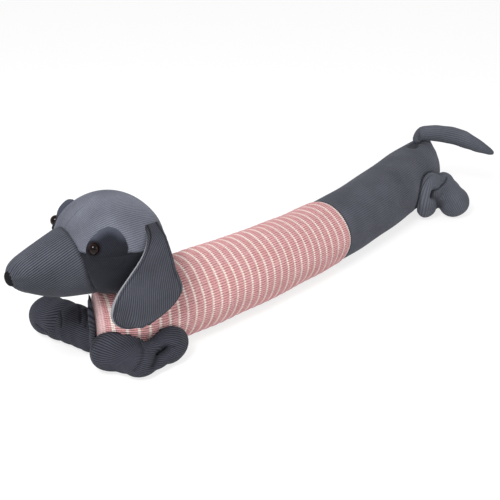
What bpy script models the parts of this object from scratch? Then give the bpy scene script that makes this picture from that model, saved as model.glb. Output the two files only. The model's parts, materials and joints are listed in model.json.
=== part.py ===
# Stuffed dog draught excluder: a long round trunk in a striped knitted jersey, with a
# corduroy rump, head, ears, legs and tail, lying on the floor along +X with its head at -X.
# Metres, +Z up. The origin is under the middle of the whole dog, on the floor.

import math

import bmesh
import bpy
from mathutils import Matrix, Vector

# Clearance between pieces that are sewn against each other
seat_gap = 0.0003

# Trunk
trunk_length = 0.752
waist_from_front = 0.402
shoulder_radius = 0.053
waist_radius = 0.0482
rump_radius = 0.0500
hem_step = 0.0008
belly_flat = 0.0012
front_closing = 0.085
rear_closing = 0.120
seam_half_width = 0.0016
front_seam_drop = 0.004
rear_seam_rise = 0.003
rear_seam_lean = 0.022
trunk_sides = 22
rump_rows = 22
seam_rows = 4

# Bend of the trunk in plan
straight_length = 0.140
front_heading = math.radians(-8.0)
bend_angle = math.radians(22.6)

# Jersey stripes
stripe_count = 31
cream_share = 0.27
stripe_lean = 0.0055

# Head, measured from the front seam of the trunk
head_from_front = 0.028
head_half_length = 0.0655
head_half_width = 0.067
head_half_height = 0.060
head_sink = 0.0025

# Muzzle
muzzle_length = 0.096
muzzle_base_half_height = 0.045
muzzle_base_half_width = 0.043
muzzle_tip_half_height = 0.0145
muzzle_tip_half_width = 0.017
muzzle_base_sink = 0.0295
muzzle_base_droop = 0.010
muzzle_tip_droop = 0.005
nose_radius = 0.0068

# Eyes and the panels around them
eye_radius = 0.0072
eye_sink = 0.0051
eye_ahead_on_cheek = 0.0150
eye_up_on_cheek = 0.0048
cheek_forward = 0.026
cheek_in = 0.0195
cheek_up = 0.019
cheek_half_length = 0.026
cheek_half_height = 0.025
cheek_half_thickness = 0.0135

# Ears
ear_length = 0.122
ear_width = 0.102
ear_root_width = 0.020
ear_half_thickness = 0.0045
ear_root_back = 0.024
ear_middle_back = 0.005
ear_root_in = 0.017
ear_root_down = 0.025
ear_clearance = 0.003

# How far a stuffed leg is pressed flat where it rests on the floor
pad_flat = 0.001
paw_flat = 0.003

# Front legs
paw_radius = 0.0288
front_pad_radius = 0.0272
front_pad_thickness = 0.034
dimple_radius = 0.006
dimple_depth = 0.016
front_paw_from_front = 0.010
front_paw_sink = 0.017
front_pad_from_front = 0.063
front_pad_sink = 0.008
front_shank_radius = 0.0235
front_reach_out = 0.096
front_reach_forward = 0.013
front_limb_radius = 0.0245
front_limb_root = 0.012
shoulder_tab_half_height = 0.046
shoulder_tab_half_length = 0.009
shoulder_tab_half_width = 0.007
shoulder_tab_foot = 0.012

# Hind legs
hind_pad_radius = 0.0392
hind_pad_thickness = 0.031
hind_pad_from_rear = 0.120
hind_pad_sink = 0.012
hind_pad_lift = 0.001
hind_paw_from_pad = 0.030
hind_paw_from_flank = 0.026
tucked_leg_from_flank = 0.010
hind_paw_radius = 0.0285
hind_hock_radius = 0.021

# Tail
tail_length = 0.128
tail_half_width = 0.0148
tail_half_thickness = 0.0100
tail_root_share = 0.80
tail_root_from_rear = 0.058
tail_sink = 0.0011
tail_buried_length = 0.030
tail_turn = math.radians(68.0)
tail_droop = 0.024

corduroy_colour = (0.095, 0.100, 0.118, 1.0)
pink_colour = (0.560, 0.235, 0.250, 1.0)
cream_colour = (0.800, 0.700, 0.650, 1.0)
bead_colour = (0.012, 0.008, 0.007, 1.0)
nose_colour = (0.010, 0.010, 0.012, 1.0)


def clear_scene():
    for old in list(bpy.data.objects):
        bpy.data.objects.remove(old, do_unlink=True)


def make_material(name, colour, roughness):
    material = bpy.data.materials.new(name)
    material.use_nodes = True
    shader = material.node_tree.nodes["Principled BSDF"]
    shader.inputs["Base Color"].default_value = colour
    shader.inputs["Roughness"].default_value = roughness
    shader.inputs["Metallic"].default_value = 0.0
    material.diffuse_color = colour
    return material


def blend(start, end, share):
    return start + (end - start) * share


def ease(share):
    share = min(max(share, 0.0), 1.0)
    return share * share * (3.0 - 2.0 * share)


def trunk_axis(along):
    """Floor point under the trunk's axis, with the directions to the tail and to the dog's left."""
    start = Vector((math.cos(front_heading), math.sin(front_heading), 0.0))
    point = start * min(along, straight_length)
    heading = front_heading
    beyond = along - straight_length
    if beyond > 0.0:
        radius = (trunk_length - straight_length) / bend_angle
        heading = front_heading + beyond / radius
        point += radius * Vector((math.sin(heading) - math.sin(front_heading),
                                  math.cos(front_heading) - math.cos(heading), 0.0))
    tailward = Vector((math.cos(heading), math.sin(heading), 0.0))
    leftward = Vector((math.sin(heading), -math.cos(heading), 0.0))
    return point, tailward, leftward


def beside_trunk(along, out, up):
    point, _, leftward = trunk_axis(along)
    return point + leftward * out + Vector((0.0, 0.0, up))


def trunk_radius(along):
    if along < waist_from_front:
        share = ease((along - straight_length * 0.5) / (waist_from_front - straight_length * 0.5))
        return blend(shoulder_radius, waist_radius, share)
    share = ease((along - waist_from_front) / (trunk_length - rear_closing - waist_from_front))
    return blend(waist_radius, rump_radius, share)


def closing(along, reach):
    """Share of the full width left at a distance from an end seam, over the length it closes in."""
    return math.sqrt(max(1.0 - (1.0 - min(max(along / reach, 0.0), 1.0)) ** 2, 0.0))


def trunk_ring(along, grow=0.0, step=0.0):
    """One ring of the trunk, a circle that closes to an upright seam at both ends."""
    front = closing(along, front_closing)
    rear = closing(trunk_length - along, rear_closing)
    radius = trunk_radius(along) + step
    half_width = max(radius * front * rear, seam_half_width) + grow
    half_height = radius - front_seam_drop * (1.0 - front) + rear_seam_rise * (1.0 - rear) + grow
    centre_height = radius - belly_flat
    lean = stripe_lean * ease(along / front_closing) * (1.0 - ease(along / waist_from_front))
    lean -= rear_seam_lean * max(1.0 - (trunk_length - along) / rear_closing, 0.0) ** 2
    point, tailward, leftward = trunk_axis(along)
    ring = []
    for side in range(trunk_sides):
        angle = 2.0 * math.pi * (side + 0.5) / trunk_sides
        rise = -math.cos(angle)
        out = half_width * math.sin(angle)
        up = max(centre_height + half_height * rise, -grow)
        ring.append(point + leftward * out + tailward * lean * rise + Vector((0.0, 0.0, up)))
    return ring


def loft(name, rings, material):
    """Closed solid through rings of equal length, with a flat face on the first and the last."""
    mesh = bmesh.new()
    rows = []
    for ring in rings:
        rows.append([mesh.verts.new(point) for point in ring])
    sides = len(rings[0])
    for lower, upper in zip(rows, rows[1:]):
        for side in range(sides):
            following = (side + 1) % sides
            mesh.faces.new((lower[side], lower[following], upper[following]))
            mesh.faces.new((lower[side], upper[following], upper[side]))
    mesh.faces.new(list(reversed(rows[0])))
    mesh.faces.new(rows[-1])
    return finish(name, mesh, material)


def finish(name, mesh, material):
    if mesh.calc_volume(signed=True) < 0.0:
        bmesh.ops.reverse_faces(mesh, faces=mesh.faces)
    data = bpy.data.meshes.new(name)
    mesh.to_mesh(data)
    mesh.free()
    data.materials.append(material)
    data.shade_smooth()
    data.set_sharp_from_angle(angle=math.radians(40.0))
    piece = bpy.data.objects.new(name, data)
    bpy.context.collection.objects.link(piece)
    return piece


def frame_matrix(centre, forward, leftward, upward, sizes):
    """Matrix that places a unit shape at a point, along three directions, with three half sizes."""
    columns = (forward * sizes[0], leftward * sizes[1], upward * sizes[2], centre)
    matrix = Matrix.Identity(4)
    for column, vector in enumerate(columns):
        for row in range(3):
            matrix[row][column] = vector[row]
    return matrix


def ball(name, centre, directions, sizes, material, around=18, rows=10):
    """Stuffed ball, pressed flat where it meets the floor."""
    mesh = bmesh.new()
    bmesh.ops.create_uvsphere(mesh, u_segments=around, v_segments=rows, radius=1.0)
    bmesh.ops.transform(mesh, verts=mesh.verts, matrix=frame_matrix(centre, *directions, sizes))
    for vert in mesh.verts:
        vert.co.z = max(vert.co.z, 0.0)
    return finish(name, mesh, material)


def combine(piece, other, operation):
    modifier = piece.modifiers.new(operation.title(), "BOOLEAN")
    modifier.operation = operation
    modifier.solver = "EXACT"
    modifier.object = other
    other.hide_render = True
    other.display_type = "WIRE"


def seat_on(piece, *cutters):
    for cutter in cutters:
        combine(piece, cutter, "DIFFERENCE")


def curve_through(points, count):
    """Evenly numbered points on a smooth curve through a few given ones."""
    padded = [points[0] * 2.0 - points[1], *points, points[-1] * 2.0 - points[-2]]
    spans = len(points) - 1
    result = []
    for number in range(count):
        place = spans * number / (count - 1)
        span = min(int(place), spans - 1)
        share = place - span
        before, start, end, after = padded[span:span + 4]
        result.append(0.5 * (2.0 * start + (end - before) * share
                             + (2.0 * before - 5.0 * start + 4.0 * end - after) * share ** 2
                             + (3.0 * start - before - 3.0 * end + after) * share ** 3))
    return result


def jersey_stations():
    """Distances from the front seam where bands end, first the steps that round the seam off."""
    pitch = waist_from_front / stripe_count
    first = (1.0 - cream_share) * pitch
    stations = [first * (row / seam_rows) ** 2 for row in range(seam_rows)]
    for stripe in range(stripe_count):
        stations.append((stripe + 1.0 - cream_share) * pitch)
        stations.append((stripe + 1.0) * pitch)
    return stations


def rump_stations():
    """Distances from the front seam, closer together towards the end seam."""
    start = waist_from_front + seat_gap
    return [blend(start, trunk_length, 1.0 - (1.0 - row / rump_rows) ** 1.5)
            for row in range(rump_rows + 1)]


def build_jersey(pink, cream):
    stations = jersey_stations()
    rings = [trunk_ring(along, 0.0, hem_step) for along in stations]
    jersey = loft("jersey_body", rings, pink)
    jersey.data.materials.append(cream)
    for face in jersey.data.polygons:
        band = face.index // (2 * trunk_sides) - seam_rows
        if 0 <= band < 2 * stripe_count and band % 2 == 0:
            face.material_index = 1
    return jersey


def build_rump(corduroy):
    return loft("rump", [trunk_ring(along) for along in rump_stations()], corduroy)


def build_trunk_cutter(material):
    rings = [trunk_ring(-seat_gap, seat_gap, hem_step)]
    rings += [trunk_ring(along, seat_gap, hem_step) for along in jersey_stations()]
    rings += [trunk_ring(along, seat_gap) for along in rump_stations()]
    rings.append(trunk_ring(trunk_length + seat_gap, seat_gap))
    return loft("trunk_cutter", rings, material)


def head_directions():
    _, tailward, leftward = trunk_axis(0.0)
    return -tailward, leftward, Vector((0.0, 0.0, 1.0))


def head_centre():
    trunk_top = 2.0 * shoulder_radius - belly_flat
    return beside_trunk(head_from_front, 0.0, trunk_top + head_half_height - head_sink)


def from_head(forward, out, up):
    ahead, leftward, upward = head_directions()
    return head_centre() + ahead * forward + leftward * out + upward * up


def build_head(corduroy, grow=0.0, name="head_crown"):
    sizes = (head_half_length + grow, head_half_width + grow, head_half_height + grow)
    return ball(name, head_centre(), head_directions(), sizes, corduroy, 28, 14)


def muzzle_base():
    """Distance of the muzzle's base from the middle of the head."""
    return head_half_length - muzzle_base_sink


def build_muzzle(corduroy, grow=0.0, name="muzzle"):
    _, leftward, upward = head_directions()
    count = 13
    sides = 24
    start = muzzle_base() - 0.5 * muzzle_base_half_height
    end = muzzle_base() + muzzle_length + grow
    rings = []
    for row in range(count):
        share = row / (count - 1)
        forward = blend(start, end, 1.0 - (1.0 - share) ** 1.5)
        taper = (forward - muzzle_base()) / muzzle_length
        rounding = math.sqrt(max(1.0 - max(taper - 0.80, 0.0) ** 2 / 0.045, 0.02))
        half_width = blend(muzzle_base_half_width, muzzle_tip_half_width, max(taper, 0.0)) * rounding
        half_height = blend(muzzle_base_half_height, muzzle_tip_half_height, max(taper, 0.0) ** 1.15)
        half_height *= rounding
        centre = from_head(forward, 0.0, -blend(muzzle_base_droop, muzzle_tip_droop, max(taper, 0.0)))
        ring = []
        for side in range(sides):
            angle = 2.0 * math.pi * side / sides
            ring.append(centre + leftward * (half_width + grow) * math.cos(angle)
                        + upward * (half_height + grow) * math.sin(angle))
        rings.append(ring)
    return loft(name, rings, corduroy)


def cheek_directions(side):
    """Directions along a cheek panel, up it and out of it."""
    ahead, leftward, upward = head_directions()
    outward = (leftward * side + ahead * 0.45 + upward * 0.25).normalized()
    along = (ahead - outward * ahead.dot(outward)).normalized()
    return along, along.cross(outward) * side, outward


def cheek_centre(side):
    return from_head(cheek_forward, (head_half_width - cheek_in) * side, cheek_up)


def build_cheek(side, name, corduroy, grow=0.0):
    sizes = (cheek_half_length + grow, cheek_half_height + grow, cheek_half_thickness + grow)
    return ball(name, cheek_centre(side), cheek_directions(side), sizes, corduroy, 24, 12)


def build_eye(side, name, bead):
    """Bead that sits in the cheek panel's surface."""
    along, above, outward = cheek_directions(side)
    across_share = (eye_ahead_on_cheek / cheek_half_length) ** 2 + (eye_up_on_cheek / cheek_half_height) ** 2
    surface = cheek_half_thickness * math.sqrt(max(1.0 - across_share, 0.0))
    centre = cheek_centre(side) + along * eye_ahead_on_cheek + above * eye_up_on_cheek
    centre += outward * (surface - eye_sink)
    return ball(name, centre, head_directions(), (eye_radius,) * 3, bead, 16, 10)


def build_nose(leather):
    tip = muzzle_base() + muzzle_length
    centre = from_head(tip - 0.65 * nose_radius, 0.0, -muzzle_tip_droop)
    sizes = (nose_radius * 0.8, nose_radius * 1.1, nose_radius)
    return ball("nose", centre, head_directions(), sizes, leather, 16, 10)


def build_ear(side, name, corduroy):
    """Stuffed flap that leaves the crown, turns over its side and hangs to a broad round end."""
    ahead, leftward, upward = head_directions()
    hang = head_half_width + ear_half_thickness + ear_clearance
    root_up = head_half_height - ear_root_down
    spine = [
        Vector((-ear_root_back, head_half_width - ear_root_in, root_up)),
        Vector((-ear_root_back * 0.85, hang * 0.96, root_up - 0.14 * ear_length)),
        Vector((-ear_middle_back, hang * 1.03, root_up - 0.45 * ear_length)),
        Vector((-ear_middle_back, hang * 0.97, root_up - 0.75 * ear_length)),
        Vector((-ear_middle_back, hang * 0.88, root_up - ear_length)),
    ]
    rows = 13
    sides = 14
    middle = curve_through(spine, rows)
    rings = []
    for row, centre in enumerate(middle):
        share = row / (rows - 1)
        spread = blend(ear_root_width, ear_width, ease(share * 1.30) ** 1.15)
        end_round = math.sqrt(max(1.0 - max(share - 0.64, 0.0) ** 2 / 0.135, 0.03))
        half_width = 0.5 * spread * end_round
        thickness = ear_half_thickness * max(end_round, 0.45)
        before = middle[max(row - 1, 0)]
        after = middle[min(row + 1, rows - 1)]
        down = (after - before).normalized()
        flat_out = Vector((0.0, -down.z, down.y)).normalized()
        ring = []
        for step in range(sides):
            angle = 2.0 * math.pi * step / sides
            spot = centre + Vector((1.0, 0.0, 0.0)) * half_width * math.cos(angle)
            spot += flat_out * thickness * math.sin(angle)
            ring.append(from_head(spot.x, spot.y * side, spot.z))
        rings.append(ring)
    return loft(name, rings, corduroy)


def build_pad(name, along, out, side, radius, thickness, material, centre_height):
    """Round stuffed pad against the trunk's side, with a stitched dimple in its outer face."""
    point, tailward, leftward = trunk_axis(along)
    outward = leftward * side
    edge = 0.5 * thickness
    profile = [(0.35 * radius, 0.0), (radius - 0.6 * edge, 0.0)]
    for number in range(1, 6):
        angle = math.pi * (number / 6.0 - 0.5)
        profile.append((radius - edge + edge * math.cos(angle), edge + edge * math.sin(angle)))
    profile.append((radius - 1.1 * edge, thickness))
    profile.append((dimple_radius + 0.30 * edge, thickness - 0.35 * dimple_depth))
    profile.append((dimple_radius * 0.6, thickness - dimple_depth))
    sides = 20
    rings = []
    for distance, offset in profile:
        ring = []
        for step in range(sides):
            angle = 2.0 * math.pi * step / sides
            spot = point + outward * (out + offset) + tailward * distance * math.cos(angle)
            height = max(centre_height + distance * math.sin(angle), 0.0)
            ring.append(spot + Vector((0.0, 0.0, height)))
        rings.append(ring)
    return loft(name, rings, material)


def build_front_left(corduroy):
    """Leg folded against the trunk's side, with its paw under the chin."""
    upward = Vector((0.0, 0.0, 1.0))
    paw_out = shoulder_radius - front_paw_sink
    pad = build_pad("front_leg_left", front_pad_from_front, shoulder_radius - front_pad_sink, 1.0,
                    front_pad_radius, front_pad_thickness, corduroy, front_pad_radius - pad_flat)
    _, tailward, leftward = trunk_axis(front_paw_from_front)
    centre = beside_trunk(front_paw_from_front, paw_out, paw_radius - paw_flat)
    sizes = (paw_radius * 1.15, paw_radius * 0.97, paw_radius * 0.94)
    paw = ball("front_paw_left", centre, (-tailward, leftward, upward), sizes, corduroy)
    combine(pad, paw, "UNION")
    between = 0.5 * (front_paw_from_front + front_pad_from_front)
    _, tailward, leftward = trunk_axis(between)
    centre = beside_trunk(between, paw_out + 0.6 * front_shank_radius, front_shank_radius - pad_flat)
    sizes = (1.45 * front_shank_radius, front_shank_radius, front_shank_radius)
    shank = ball("front_shank_left", centre, (-tailward, leftward, upward), sizes, corduroy)
    combine(pad, shank, "UNION")
    return pad


def build_front_right(corduroy):
    """Leg that reaches out to the dog's right in front of the chest, with a paw at its end."""
    seam, tailward, leftward = trunk_axis(0.0)
    upward = Vector((0.0, 0.0, 1.0))
    route = [
        Vector((front_limb_root, 0.0, front_limb_radius - pad_flat)),
        Vector((0.5 * front_limb_root, -0.45 * front_reach_out, front_limb_radius - pad_flat)),
        Vector((-front_reach_forward, -front_reach_out, front_limb_radius - pad_flat)),
    ]
    rows = 12
    sides = 20
    middle = curve_through(route, rows)
    rings = []
    for row, spot in enumerate(middle):
        share = row / (rows - 1)
        size = front_limb_radius * math.sqrt(1.0 - 0.94 * abs(1.85 * share - 0.90) ** 4)
        ring = []
        for step in range(sides):
            angle = 2.0 * math.pi * step / sides
            along = spot.x + size * math.cos(angle)
            up = max(spot.z + size * math.sin(angle), 0.0)
            ring.append(seam + tailward * along + leftward * spot.y + upward * up)
        rings.append(ring)
    limb = loft("front_leg_right", rings, corduroy)
    paw_centre = seam - tailward * front_reach_forward - leftward * front_reach_out
    paw_centre += upward * (paw_radius - paw_flat)
    paw = ball("front_paw_right", paw_centre, (-tailward, leftward, upward),
               (paw_radius * 0.95, paw_radius * 0.92, paw_radius), corduroy)
    tab_centre = seam - (tailward + leftward) * 0.5 * shoulder_tab_half_width
    tab_centre += upward * (shoulder_tab_half_height + shoulder_tab_foot)
    tab = ball("front_tab_right", tab_centre, (-tailward, leftward, upward),
               (shoulder_tab_half_length, shoulder_tab_half_width, shoulder_tab_half_height), corduroy)
    combine(limb, paw, "UNION")
    combine(limb, tab, "UNION")
    return limb


def build_hind_leg(corduroy):
    """Leg that stands on edge against the flank, with its paw splayed out on the floor."""
    upward = Vector((0.0, 0.0, 1.0))
    pad_along = trunk_length - hind_pad_from_rear
    pad = build_pad("hind_leg_left", pad_along, rump_radius - hind_pad_sink, 1.0, hind_pad_radius,
                    hind_pad_thickness, corduroy, hind_pad_radius + hind_pad_lift)
    along = pad_along + hind_paw_from_pad
    paw_out = rump_radius + hind_paw_from_flank
    _, tailward, leftward = trunk_axis(along)
    directions = (-tailward, leftward, upward)
    sizes = (hind_paw_radius * 0.95, hind_paw_radius * 1.15, hind_paw_radius)
    centre = beside_trunk(along, paw_out, hind_paw_radius - paw_flat)
    paw = ball("hind_paw_left", centre, directions, sizes, corduroy)
    combine(pad, paw, "UNION")
    hock_height = 2.0 * hind_pad_radius - 1.3 * hind_hock_radius
    centre = beside_trunk(along - 0.25 * hind_paw_from_pad, paw_out - 0.4 * hind_paw_radius, hock_height)
    hock = ball("hind_hock_left", centre, directions, (hind_hock_radius,) * 3, corduroy)
    combine(pad, hock, "UNION")
    return pad


def build_tucked_leg(corduroy):
    """The other hind leg lies flat on the floor, tucked against the foot of the flank."""
    upward = Vector((0.0, 0.0, 1.0))
    leg_out = rump_radius + tucked_leg_from_flank
    along = trunk_length - hind_pad_from_rear
    _, tailward, leftward = trunk_axis(along)
    centre = beside_trunk(along, -leg_out, 0.5 * hind_pad_thickness - pad_flat)
    sizes = (hind_pad_radius, hind_pad_radius * 0.92, 0.5 * hind_pad_thickness)
    leg = ball("hind_leg_right", centre, (-tailward, leftward, upward), sizes, corduroy)
    along += 1.4 * hind_paw_from_pad
    _, tailward, leftward = trunk_axis(along)
    centre = beside_trunk(along, -0.95 * leg_out, 0.85 * hind_paw_radius - pad_flat)
    sizes = (hind_paw_radius * 1.15, hind_paw_radius * 0.95, hind_paw_radius * 0.85)
    paw = ball("hind_paw_right", centre, (-tailward, leftward, upward), sizes, corduroy)
    combine(leg, paw, "UNION")
    return leg


def build_tail(corduroy):
    """Flat stuffed tail that starts in the ridge of the rump and turns out to the dog's left."""
    point, tailward, leftward = trunk_axis(trunk_length - tail_root_from_rear)
    upward = Vector((0.0, 0.0, 1.0))
    reach = tailward * math.cos(tail_turn) + leftward * math.sin(tail_turn)
    rump_top = 2.0 * rump_radius - belly_flat
    root = point + upward * (rump_top + tail_half_width - tail_sink)
    route = [
        root - tailward * tail_buried_length - upward * 2.0 * tail_half_width,
        root,
        root + reach * 0.5 * tail_length - upward * 0.25 * tail_droop,
        root + reach * tail_length - upward * tail_droop,
    ]
    rows = 17
    sides = 14
    middle = curve_through(route, rows)
    rings = []
    for row, centre in enumerate(middle):
        share = row / (rows - 1)
        before = middle[max(row - 1, 0)]
        after = middle[min(row + 1, rows - 1)]
        across = (after - before).cross(upward).normalized()
        size = blend(tail_root_share, 1.0, ease(share * 1.4))
        size *= math.sqrt(max(1.0 - max(share - 0.62, 0.0) ** 2 / 0.148, 0.03))
        ring = []
        for step in range(sides):
            angle = 2.0 * math.pi * step / sides
            ring.append(centre + across * tail_half_thickness * size * math.cos(angle)
                        + upward * tail_half_width * size * math.sin(angle))
        rings.append(ring)
    return loft("tail", rings, corduroy)


def centre_on_floor():
    """Moves the finished shapes so that the origin lies under the middle of their common box."""
    bpy.context.view_layer.update()
    shown = [piece for piece in bpy.data.objects if not piece.hide_render]
    graph = bpy.context.evaluated_depsgraph_get()
    corners = []
    for piece in shown:
        corners += [vert.co.copy() for vert in piece.evaluated_get(graph).data.vertices]
    low = Vector([min(corner[axis] for corner in corners) for axis in range(3)])
    high = Vector([max(corner[axis] for corner in corners) for axis in range(3)])
    shift = Vector((-0.5 * (low.x + high.x), -0.5 * (low.y + high.y), -low.z))
    for piece in bpy.data.objects:
        piece.location = shift


def main():
    clear_scene()
    corduroy = make_material("corduroy_slate", corduroy_colour, 0.85)
    pink = make_material("knit_pink", pink_colour, 0.90)
    cream = make_material("knit_cream", cream_colour, 0.90)
    bead = make_material("glass_bead", bead_colour, 0.08)
    leather = make_material("nose_black", nose_colour, 0.55)

    build_jersey(pink, cream)
    build_rump(corduroy)
    trunk_cutter = build_trunk_cutter(corduroy)
    head_cutter = build_head(corduroy, seat_gap, "head_cutter")
    muzzle_cutter = build_muzzle(corduroy, seat_gap, "muzzle_cutter")

    seat_on(build_head(corduroy), trunk_cutter)
    seat_on(build_muzzle(corduroy), head_cutter, trunk_cutter)
    seat_on(build_nose(leather), muzzle_cutter)
    seat_on(build_tail(corduroy), trunk_cutter)
    seat_on(build_front_left(corduroy), trunk_cutter)
    seat_on(build_front_right(corduroy), trunk_cutter, muzzle_cutter, head_cutter)
    seat_on(build_hind_leg(corduroy), trunk_cutter)
    seat_on(build_tucked_leg(corduroy), trunk_cutter)
    for side, word in ((1.0, "left"), (-1.0, "right")):
        cheek_cutter = build_cheek(side, "cheek_cutter_" + word, corduroy, seat_gap)
        seat_on(build_cheek(side, "cheek_" + word, corduroy), head_cutter, muzzle_cutter)
        seat_on(build_eye(side, "eye_" + word, bead), head_cutter, muzzle_cutter, cheek_cutter)
        seat_on(build_ear(side, "ear_" + word, corduroy), head_cutter, trunk_cutter, cheek_cutter)
    centre_on_floor()


main()
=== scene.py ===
# Dog draught excluder: the looks of the stuffed dog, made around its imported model.
# Lengths are metres. The dog lies along X with its head at -X, and its left side faces -Y.

import json
import math

import bpy
import numpy as np
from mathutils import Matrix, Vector
from mathutils.bvhtree import BVHTree

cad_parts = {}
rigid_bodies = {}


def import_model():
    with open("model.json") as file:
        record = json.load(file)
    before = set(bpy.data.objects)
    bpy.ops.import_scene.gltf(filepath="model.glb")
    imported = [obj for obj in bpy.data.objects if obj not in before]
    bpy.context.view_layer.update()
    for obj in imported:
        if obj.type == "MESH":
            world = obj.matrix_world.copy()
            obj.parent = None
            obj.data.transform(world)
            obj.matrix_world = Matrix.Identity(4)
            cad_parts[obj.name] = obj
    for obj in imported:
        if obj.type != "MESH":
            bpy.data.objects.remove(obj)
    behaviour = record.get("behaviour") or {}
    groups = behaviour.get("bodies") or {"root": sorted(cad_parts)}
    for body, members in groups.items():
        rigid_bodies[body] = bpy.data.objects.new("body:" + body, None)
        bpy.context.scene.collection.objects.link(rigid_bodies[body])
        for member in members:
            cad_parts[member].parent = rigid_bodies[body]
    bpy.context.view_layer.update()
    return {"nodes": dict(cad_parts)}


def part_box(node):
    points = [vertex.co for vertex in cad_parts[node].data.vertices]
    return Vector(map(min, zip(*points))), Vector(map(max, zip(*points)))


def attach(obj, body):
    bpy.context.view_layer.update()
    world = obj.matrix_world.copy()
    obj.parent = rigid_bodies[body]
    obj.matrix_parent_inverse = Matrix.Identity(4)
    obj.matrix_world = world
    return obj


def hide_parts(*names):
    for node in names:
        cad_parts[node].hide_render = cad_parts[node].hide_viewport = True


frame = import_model()
upward = np.array((0.0, 0.0, 1.0))


# Cloth that the corduroy pieces share
corduroy = {
    "pitch": 0.0032,        # from one wale to the next
    "height": 0.00034,      # from a groove to the top of a wale
    "samples": 5,           # mesh columns across one wale
    "seamDepth": 0.0010,
    "seamWidth": 0.0013,
    "creaseDepth": 0.0016,  # how far cloth rounds in where it is sewn against another piece
    "creaseReach": 0.0026,
}


def unit(vectors):
    return vectors / np.maximum(np.linalg.norm(vectors, axis=-1, keepdims=True), 1e-9)


def ease(share):
    share = np.clip(share, 0.0, 1.0)
    return share * share * (3 - 2 * share)


def bell(distance, width):
    return np.exp(-(distance / width) ** 2)


def curveThrough(points, shares):
    # smooth curve through a few points, read at shares of its length from 0 to 1
    points = np.asarray(points, float)
    padded = np.vstack((2 * points[0] - points[1], points, 2 * points[-1] - points[-2]))
    place = np.clip(np.asarray(shares, float), 0, 1) * (len(points) - 1)
    span = np.minimum(place.astype(int), len(points) - 2)
    t = (place - span)[:, None]
    before, start, end, after = (padded[span + k] for k in range(4))
    return 0.5 * (2 * start + (end - before) * t + (2 * before - 5 * start + 4 * end - after) * t ** 2
                  + (3 * start - before - 3 * end + after) * t ** 3)


def lumps(points, size, seed):
    # soft unevenness about size across, between about -1 and 1
    rng = np.random.default_rng(seed)
    total = np.zeros(points.shape[:-1])
    for _ in range(6):
        wave = unit(rng.normal(size=3)) * (2 * math.pi / size) * rng.uniform(0.6, 1.3)
        total += np.sin(points @ wave + rng.uniform(0, 2 * math.pi))
    return total / 3.2


def gridNormals(grid):
    along = np.gradient(grid, axis=0)
    around = np.roll(grid, -1, axis=1) - np.roll(grid, 1, axis=1)
    normals = unit(np.cross(around, along))
    middle = grid.mean(axis=1, keepdims=True)
    return normals if np.sum(normals * (grid - middle)) > 0 else -normals


def nodeTree(name):
    mesh = frame["nodes"][name].data
    return BVHTree.FromPolygons([v.co for v in mesh.vertices], [p.vertices for p in mesh.polygons])


def distanceTo(points, names):
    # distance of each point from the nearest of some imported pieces, up to 20 mm
    flat = points.reshape(-1, 3)
    nearest = np.full(len(flat), 0.02)
    for name in names:
        low, high = (np.array(corner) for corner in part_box(name))
        close = np.flatnonzero(np.all((flat > low - 0.012) & (flat < high + 0.012), axis=1))
        tree = nodeTree(name)
        for number in close:
            found = tree.find_nearest(Vector(flat[number]), 0.012)
            if found[3] is not None and found[3] < nearest[number]:
                nearest[number] = found[3]
    return nearest.reshape(points.shape[:-1])


def distanceFromLine(points, line):
    nearest = np.full(points.shape[:-1], 1.0)
    for spot in curveThrough(line, np.linspace(0, 1, 40)):
        nearest = np.minimum(nearest, np.linalg.norm(points - spot, axis=-1))
    return nearest


def waleHeight(across):
    return np.abs(np.sin(math.pi * across / corduroy["pitch"])) ** 0.8 - 0.65


def dressCorduroy(points, normals, across, neighbours, seams, seed, lumpSize, lumpHeight, waleShare=1.0,
                  crease=1.0):
    # cloth over a plain form: soft lumps, rounded-in edges at its neighbours, seam grooves and wales
    distance = distanceTo(points, neighbours)
    move = lumpHeight * lumps(points, lumpSize, seed)
    move = move - crease * corduroy["creaseDepth"] * bell(distance, corduroy["creaseReach"])
    # painted shade: the shade it returns colours the cloth darker where it meets a neighbour and along seam grooves
    shade = 0.8 * bell(distance, 0.8 * corduroy["creaseReach"])
    if seams is not None:
        groove = bell(seams, corduroy["seamWidth"])
        move = move - corduroy["seamDepth"] * groove + 0.35 * corduroy["seamDepth"] * bell(
            seams - 2.2 * corduroy["seamWidth"], 1.4 * corduroy["seamWidth"])
        shade = np.maximum(shade, groove)
    move = move + corduroy["height"] * waleHeight(across) * waleShare
    points = points + normals * move[..., None]
    points[..., 2] = np.maximum(points[..., 2], 0.0002)
    return points, shade


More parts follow.
